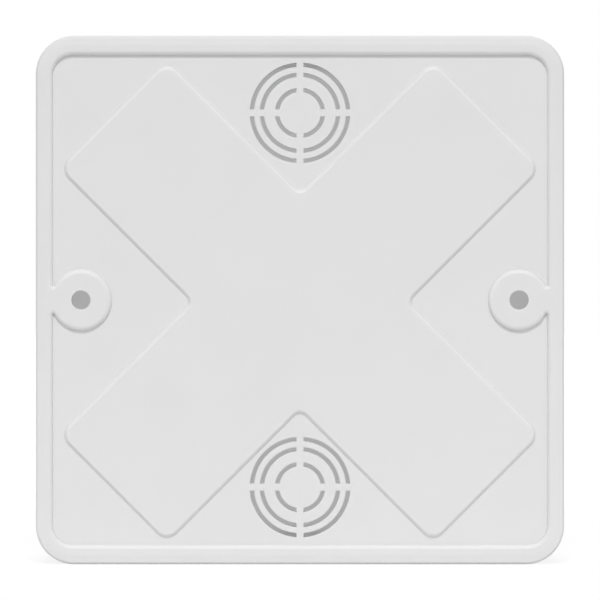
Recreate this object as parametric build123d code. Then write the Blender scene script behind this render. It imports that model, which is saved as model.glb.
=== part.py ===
from build123d import *
from math import sqrt
import os

# Surface junction box for a wall: a flat base plate, and a deep cover that pushes onto it.
# Millimetres and degrees. The wall is the plane Y = 0, and the box stands out from it along +Y.
# X runs to the right and Z up, as the plate is seen from its wall side.
# The origin is midway between the two wall screws.

# Base plate: outline, floor, and the rim that bears on the wall
plate_side = 105.0
plate_corner = 7.6
floor_thick = 2.0
rim_side_width = 3.35
rim_end_width = 3.85
rim_height = 1.0
rim_slope_width = 1.8
rim_slope_drop = 0.2
rim_inner_round = 0.9
recess_corner = 4.0
plate_edge_break = 0.4

# Two bosses for the wall screws, set against the rim
boss_diameter = 12.2
boss_merge = 0.45
boss_neck_round = 0.15
screw_hole = 3.8

# Ring knockouts for cable or conduit, one above and one below the middle
knockout_small = 10.0
knockout_middle = 16.0
knockout_large = 20.0
knockout_rim_gap = 1.45
slot_width = 0.85
bridge_width = 1.4

# Diagonal cross that stiffens the floor between the knockouts, a little below the middle
cross_height = 0.7
cross_drop = 0.35
cross_ring_gap = 1.55
cross_rim_gap = 2.35
cross_end_round = 2.4
cross_notch_round = 2.0
cross_side_slope = 40.0
cross_edge_break = 0.15

# Cover: a drafted cap that stands on the plate, a little inside its outline
box_depth = 40.0
seam_step = 0.3
cover_wall = 1.8
cover_front = 2.0
cover_draft = 1.0
cover_edge_round = 4.0
pry_notch_width = 10.0
pry_notch_height = 1.5

# Lip on the plate that the cover's wall slides over, with friction ribs
lip_height = 6.0
lip_thick = 1.6
seat_clearance = 0.3
rib_width = 1.6
rib_play = 0.05
rib_spread = 50.0

# Levels on the model are told apart to within this distance
level_tolerance = 0.01

# Places that follow from the sizes above
floor_top = rim_height + floor_thick
recess_width = plate_side - 2 * rim_side_width
recess_height = plate_side - 2 * rim_end_width
screw_x = recess_width / 2 - boss_diameter / 2 + boss_merge
knockout_z = recess_height / 2 - knockout_rim_gap - knockout_large / 2
cross_half_width = knockout_z / sqrt(2) - knockout_large / 2 - cross_ring_gap
cover_side = plate_side - 2 * seam_step
cover_corner = plate_corner - seam_step
hollow_side = cover_side - 2 * cover_wall
hollow_corner = cover_corner - cover_wall
hollow_chamfer = (2 - sqrt(2)) * (cover_edge_round - cover_wall)
lip_side = hollow_side - 2 * seat_clearance
lip_corner = hollow_corner - seat_clearance

wall = Plane(origin=(0, 0, 0), x_dir=(1, 0, 0), z_dir=(0, 1, 0))


def stand(sketch, distance, height, draft=0):
    """The sketch made solid, from a distance off the wall and outwards by a height."""
    return extrude(wall.offset(distance) * sketch, height, taper=draft)


def edges_at(shape, distance):
    """The edges that lie flat at one distance off the wall."""
    return shape.edges().filter_by_position(Axis.Y, distance - level_tolerance, distance + level_tolerance)


def screw_boss():
    """Disc about the right-hand screw hole, joined to the rim by a neck with hollow corners."""
    radius = boss_diameter / 2
    reach = radius - boss_merge
    corner_x = reach - boss_neck_round
    corner_z = sqrt((radius + boss_neck_round) ** 2 - corner_x**2)
    rim_x = reach + rim_side_width
    neck = make_face(
        Polyline(
            (0, 0), (corner_x, corner_z), (rim_x, corner_z),
            (rim_x, -corner_z), (corner_x, -corner_z), close=True,
        )
    )
    corners = Locations((corner_x, corner_z), (corner_x, -corner_z)) * Circle(boss_neck_round)
    return Pos(screw_x, 0) * (Circle(radius) + (neck - corners))


def recess_outline():
    """Field inside the rim, going round the two bosses."""
    boss = screw_boss()
    return RectangleRounded(recess_width, recess_height, recess_corner) - boss - mirror(boss, Plane.YZ)


def cross_outline():
    """Two rounded bars on the diagonals, with hollow corners where they meet."""
    corner_reach = recess_height / 2 - cross_rim_gap - cross_end_round
    half_length = sqrt(2) * corner_reach + 2 * cross_end_round - cross_half_width
    bar = RectangleRounded(2 * half_length, 2 * cross_half_width, cross_end_round)
    cross = Rot(0, 0, 45) * bar + Rot(0, 0, -45) * bar
    notches = cross.vertices().sort_by_distance((0, 0))[:4]
    return fillet(notches, cross_notch_round)


def stiffening_cross():
    """The cross made solid, with sides that slope outwards down to the floor and broken top edges."""
    top = rim_height - cross_height
    cross = stand(Pos(0, cross_drop) * cross_outline(), top, cross_height, -cross_side_slope)
    return chamfer(edges_at(cross, top), cross_edge_break)


def ring_slots():
    """Three rings of slots about one centre, each broken by four bridges."""
    slots = Sketch()
    for diameter in (knockout_small, knockout_middle, knockout_large):
        slots += Circle(diameter / 2) - Circle(diameter / 2 - slot_width)
    for turn in (0, 90):
        slots -= Rot(0, 0, turn) * Rectangle(knockout_large, bridge_width)
    return slots


def locating_lip():
    """Low drafted wall, with two sharp friction ribs on each side."""
    lip = stand(RectangleRounded(lip_side, lip_side, lip_corner), floor_top, lip_height, cover_draft)
    rib_axis = lip_side / 2 + seat_clearance - rib_play - rib_width / 2
    for turn in range(0, 360, 90):
        for place in (-rib_spread / 2, rib_spread / 2):
            rib = Rot(0, 0, turn) * Pos(rib_axis, place) * RegularPolygon(rib_width / 2, 4)
            lip += stand(rib, floor_top, lip_height, cover_draft)
    inside = lip_side - 2 * lip_thick
    return lip - stand(RectangleRounded(inside, inside, lip_corner - lip_thick), floor_top, lip_height)


def base_plate():
    """The plate: relief on its wall side, lip on its room side, slots and holes right through."""
    outline = RectangleRounded(plate_side, plate_side, plate_corner)
    plate = stand(outline, 0, floor_top)
    bearing = plate.faces().sort_by(Axis.Y)[0]
    plate = chamfer(bearing.edges(), rim_slope_width, rim_slope_drop, reference=bearing)
    plate = chamfer(edges_at(plate, rim_slope_drop) + edges_at(plate, floor_top), plate_edge_break)
    plate -= stand(recess_outline(), 0, rim_height)
    bearing = plate.faces().sort_by(Axis.Y)[0]
    plate = fillet(bearing.inner_wires()[0].edges(), rim_inner_round)
    plate += stiffening_cross() + locating_lip()
    for side in (-1, 1):
        plate -= stand(Pos(side * screw_x, 0) * Circle(screw_hole / 2), 0, floor_top)
        plate -= stand(Pos(0, side * knockout_z) * ring_slots(), 0, floor_top)
    return plate


def cover():
    """Deep cap with rounded front edges, and a notch above and below for prying it off."""
    height = box_depth - floor_top
    shell = stand(RectangleRounded(cover_side, cover_side, cover_corner), floor_top, height, cover_draft)
    shell = fillet(edges_at(shell, box_depth), cover_edge_round)
    hollow_depth = height - cover_front
    hollow = stand(
        RectangleRounded(hollow_side, hollow_side, hollow_corner), floor_top, hollow_depth, cover_draft
    )
    hollow = chamfer(edges_at(hollow, floor_top + hollow_depth), hollow_chamfer)
    notch = Rectangle(pry_notch_width, plate_side)
    inside = Rectangle(pry_notch_width, hollow_side)
    return shell - hollow - stand(notch - inside, floor_top, pry_notch_height)


os.makedirs("parts", exist_ok=True)
export_step(base_plate(), "parts/base_plate.step")
export_step(cover(), "parts/cover.step")
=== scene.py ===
import math

import bmesh
import bpy
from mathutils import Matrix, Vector


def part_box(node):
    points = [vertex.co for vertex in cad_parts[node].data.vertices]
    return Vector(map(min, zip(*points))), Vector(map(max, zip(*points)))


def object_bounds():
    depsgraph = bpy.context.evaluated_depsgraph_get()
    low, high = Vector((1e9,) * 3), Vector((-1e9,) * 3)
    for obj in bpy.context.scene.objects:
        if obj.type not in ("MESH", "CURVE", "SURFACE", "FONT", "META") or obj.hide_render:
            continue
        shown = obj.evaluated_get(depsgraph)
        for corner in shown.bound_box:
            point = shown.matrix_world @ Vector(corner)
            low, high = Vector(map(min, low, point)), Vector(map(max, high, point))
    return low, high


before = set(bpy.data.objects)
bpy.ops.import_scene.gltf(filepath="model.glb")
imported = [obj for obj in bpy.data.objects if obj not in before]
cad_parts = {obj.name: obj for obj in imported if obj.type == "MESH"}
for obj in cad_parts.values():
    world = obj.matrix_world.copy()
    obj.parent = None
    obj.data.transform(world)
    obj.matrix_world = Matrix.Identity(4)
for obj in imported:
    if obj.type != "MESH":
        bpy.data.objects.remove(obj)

cad_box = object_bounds()

# Base plate: the flat half of the box, which two screws hold to the wall.
# One injection moulding in white ABS, with its rim, cross, bosses and ring knockouts all in one piece.
# The tool is lightly spark-eroded, so the faces come out satin, and thin walls let a little light through.
millimetre = 0.001
abs_white = "#E2E2E2"
abs_flow_white = "#DEDEDE"
abs_ior = 1.54
abs_light_travel = 1.0 * millimetre
abs_light_share = 0.35
abs_light_spread = (1.0, 1.0, 1.0)
flow_cloud_size = 14.0 * millimetre
flow_cloud_detail = 3.0
grain_size = 0.45 * millimetre
grain_detail = 2.0
grain_depth = 0.004 * millimetre
smoothest = 0.46
roughest = 0.60
mix_colour_output = 2


def linear(hex_colour):
    """An sRGB hex colour as the linear values that a shader takes."""
    channels = [int(hex_colour[place:place + 2], 16) / 255 for place in (1, 3, 5)]
    return [c / 12.92 if c <= 0.04045 else ((c + 0.055) / 1.055) ** 2.4 for c in channels] + [1.0]


def add_node(tree, kind, inputs=None, **settings):
    """A node with its settings. Each input is a plain value or another node's output socket."""
    node = tree.nodes.new(kind)
    for name, value in settings.items():
        setattr(node, name, value)
    for name, value in (inputs or {}).items():
        socket = next(s for s in node.inputs if s.name == name and s.enabled)
        if isinstance(value, bpy.types.NodeSocket):
            tree.links.new(value, socket)
        else:
            socket.default_value = value
    return node


def moulded_abs(name):
    """White ABS as moulded: faint flow clouds, and the grain of a spark-eroded tool.
    The real grain is about a fifth as coarse, and is drawn larger so that it shows."""
    material = bpy.data.materials.new(name)
    material.use_nodes = True
    tree = material.node_tree
    tree.nodes.clear()
    place = add_node(tree, "ShaderNodeTexCoord").outputs["Object"]
    clouds = add_node(
        tree, "ShaderNodeTexNoise",
        {"Vector": place, "Scale": 1 / flow_cloud_size, "Detail": flow_cloud_detail},
    ).outputs["Fac"]
    grain = add_node(
        tree, "ShaderNodeTexNoise",
        {"Vector": place, "Scale": 1 / grain_size, "Detail": grain_detail},
    ).outputs["Fac"]
    colour = add_node(
        tree, "ShaderNodeMix",
        {"Factor": clouds, "A": linear(abs_white), "B": linear(abs_flow_white)},
        data_type="RGBA",
    )
    roughness = add_node(
        tree, "ShaderNodeMapRange", {"Value": grain, "To Min": smoothest, "To Max": roughest}
    )
    relief = add_node(tree, "ShaderNodeBump", {"Height": grain, "Distance": grain_depth})
    surface = add_node(
        tree, "ShaderNodeBsdfPrincipled",
        {
            "Base Color": colour.outputs[mix_colour_output],
            "Roughness": roughness.outputs["Result"],
            "Normal": relief.outputs["Normal"],
            "IOR": abs_ior,
            "Subsurface Weight": abs_light_share,
            "Subsurface Radius": abs_light_spread,
            "Subsurface Scale": abs_light_travel,
        },
    )
    add_node(tree, "ShaderNodeOutputMaterial", {"Surface": surface.outputs["BSDF"]})
    return material


base_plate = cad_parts["base_plate"]
base_plate.data.materials.clear()
base_plate.data.materials.append(moulded_abs("white_abs_base"))

# Cover: the deep half of the box, pushed over the plate's lip until its edge meets the plate.
# One injection moulding in the same white ABS, drafted so that it leaves its tool.
# It holds by friction, so nothing on it is separate.
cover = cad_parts["cover"]
cover.data.materials.clear()
cover.data.materials.append(moulded_abs("white_abs_cover"))

# Floor: a white sheet of matt paper, on a greyer table, that the box stands on. It is no part of the box.
# Whatever sees it directly sees white, with the box's shadow on the sheet close to the box.
# The light that it throws up on the box is that of its real shade.
floor_size = 12.0
sheet_white = "#E8E8E8"
table_grey = "#A6A6A6"
sheet_reach = (0.10, 0.35)
paper_white = 1.09
sheet_whitening = 0.75
table_whitening = 1.0

floor_mesh = bmesh.new()
bmesh.ops.create_grid(floor_mesh, x_segments=1, y_segments=1, size=floor_size / 2)
bmesh.ops.translate(floor_mesh, verts=floor_mesh.verts, vec=(0, 0, cad_box[0].z))
floor_data = bpy.data.meshes.new("floor")
floor_mesh.to_mesh(floor_data)
floor_mesh.free()
floor = bpy.data.objects.new("floor", floor_data)
bpy.context.scene.collection.objects.link(floor)


def seen_directly(tree):
    """One for what the eye, a gloss or a clear body sees, and nought for what only lights the box."""
    path = add_node(tree, "ShaderNodeLightPath")
    gloss = add_node(tree, "ShaderNodeMath", operation="MAXIMUM")
    tree.links.new(path.outputs["Is Camera Ray"], gloss.inputs[0])
    tree.links.new(path.outputs["Is Glossy Ray"], gloss.inputs[1])
    clear = add_node(tree, "ShaderNodeMath", operation="MAXIMUM")
    tree.links.new(gloss.outputs["Value"], clear.inputs[0])
    tree.links.new(path.outputs["Is Transmission Ray"], clear.inputs[1])
    return clear.outputs["Value"]


paper = bpy.data.materials.new("matt_paper")
paper.use_nodes = True
paper_tree = paper.node_tree
paper_tree.nodes.clear()
distance = add_node(
    paper_tree, "ShaderNodeVectorMath",
    {"Vector": add_node(paper_tree, "ShaderNodeTexCoord").outputs["Object"]},
    operation="LENGTH",
).outputs["Value"]
from_sheet_to_table = {"Value": distance, "From Min": sheet_reach[0], "From Max": sheet_reach[1]}
fade = add_node(paper_tree, "ShaderNodeMapRange", from_sheet_to_table, interpolation_type="SMOOTHSTEP")
shade = add_node(
    paper_tree, "ShaderNodeMix",
    {"Factor": fade.outputs["Result"], "A": linear(sheet_white), "B": linear(table_grey)},
    data_type="RGBA",
)
whitening = add_node(
    paper_tree, "ShaderNodeMapRange",
    {**from_sheet_to_table, "To Min": sheet_whitening, "To Max": table_whitening},
    interpolation_type="SMOOTHSTEP",
)
share = add_node(paper_tree, "ShaderNodeMath", operation="MULTIPLY")
paper_tree.links.new(seen_directly(paper_tree), share.inputs[0])
paper_tree.links.new(whitening.outputs["Result"], share.inputs[1])
matt = add_node(paper_tree, "ShaderNodeBsdfDiffuse", {"Color": shade.outputs[mix_colour_output]})
white = add_node(paper_tree, "ShaderNodeEmission", {"Strength": paper_white})
paper_mix = add_node(paper_tree, "ShaderNodeMixShader", {"Fac": share.outputs["Value"]})
paper_tree.links.new(matt.outputs["BSDF"], paper_mix.inputs[1])
paper_tree.links.new(white.outputs["Emission"], paper_mix.inputs[2])
add_node(paper_tree, "ShaderNodeOutputMaterial", {"Surface": paper_mix.outputs["Shader"]})
floor_data.materials.append(paper)

# Light: a softbox high in front, a wide scrim in front and one behind, and a dim, even room.
# Gloss doesn't show the two scrims, so that the box's top keeps clear of white from low angles.
# The unseen lamp inside stands for light through the thin walls, and gives slots and holes one even grey.
room_strength = 0.42
backdrop_strength = 1.0
light_white = "#FFFFFF"
softbox_size = (0.5, 0.35)
softbox_place = (0.0, -1.5, 1.65)
softbox_power = 23.1
scrim_size = (2.6, 1.6)
scrim_distance = 2.0
scrim_height = 0.75
front_scrim_power = 9.85
rear_scrim_power = 29.0
inside_lamp_size = (99.0 * millimetre, 97.0 * millimetre)
inside_lamp_depth = 3.2 * millimetre
inside_lamp_power = 0.0113


def soft_lamp(name, size, place, target, power):
    """A rectangular lamp at a place, which faces a target."""
    lamp = bpy.data.lights.new(name, "AREA")
    lamp.shape = "RECTANGLE"
    lamp.size, lamp.size_y = size
    lamp.energy = power
    holder = bpy.data.objects.new(name, lamp)
    holder.location = place
    holder.rotation_euler = (Vector(target) - Vector(place)).to_track_quat("-Z", "Y").to_euler()
    bpy.context.scene.collection.objects.link(holder)
    return holder


plate_middle = (0.0, 0.0, 0.0)
soft_lamp("softbox_above", softbox_size, softbox_place, plate_middle, softbox_power)
front_place = (0.0, -scrim_distance, scrim_height)
front_scrim = soft_lamp("scrim_in_front", scrim_size, front_place, plate_middle, front_scrim_power)
front_scrim.visible_glossy = False
rear_place = (0.0, scrim_distance, scrim_height)
rear_scrim = soft_lamp("scrim_behind", scrim_size, rear_place, plate_middle, rear_scrim_power)
rear_scrim.visible_glossy = False

cover_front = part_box("cover")[1].y
inside_place = Vector((0.0, cover_front - inside_lamp_depth, 0.0))
inside_target = inside_place + Vector((0.0, 1.0, 0.0))
inside = soft_lamp("lamp_inside", inside_lamp_size, inside_place, inside_target, inside_lamp_power)
inside.visible_camera = False

room = bpy.data.worlds.new("white_room")
bpy.context.scene.world = room
room.use_nodes = True
room_tree = room.node_tree
room_tree.nodes.clear()
lighting = add_node(
    room_tree, "ShaderNodeBackground", {"Color": linear(light_white), "Strength": room_strength}
)
backdrop = add_node(
    room_tree, "ShaderNodeBackground", {"Color": linear(light_white), "Strength": backdrop_strength}
)
room_mix = add_node(room_tree, "ShaderNodeMixShader", {"Fac": seen_directly(room_tree)})
room_tree.links.new(lighting.outputs["Background"], room_mix.inputs[1])
room_tree.links.new(backdrop.outputs["Background"], room_mix.inputs[2])
add_node(room_tree, "ShaderNodeOutputWorld", {"Surface": room_mix.outputs["Shader"]})

# Camera: straight on to the plate's wall side, from far enough off that its sides don't show.
# The picture is 600 pixels square, and the lens is set by how many of them the plate spans.
camera_distance = 0.9
picture_pixels = 600
plate_pixels = 528.75
sensor_width = 36.0
upright = math.radians(90)

plate_low, plate_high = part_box("base_plate")
view_width = (plate_high.x - plate_low.x) * picture_pixels / plate_pixels
camera_data = bpy.data.cameras.new("camera")
camera_data.sensor_width = sensor_width
camera_data.lens = sensor_width * camera_distance / view_width
camera = bpy.data.objects.new("camera", camera_data)
camera.location = (0.0, plate_low.y - camera_distance, 0.0)
camera.rotation_euler = (upright, 0.0, 0.0)
bpy.context.scene.collection.objects.link(camera)
bpy.context.scene.camera = camera
bpy.context.scene.view_settings.view_transform = "Standard"
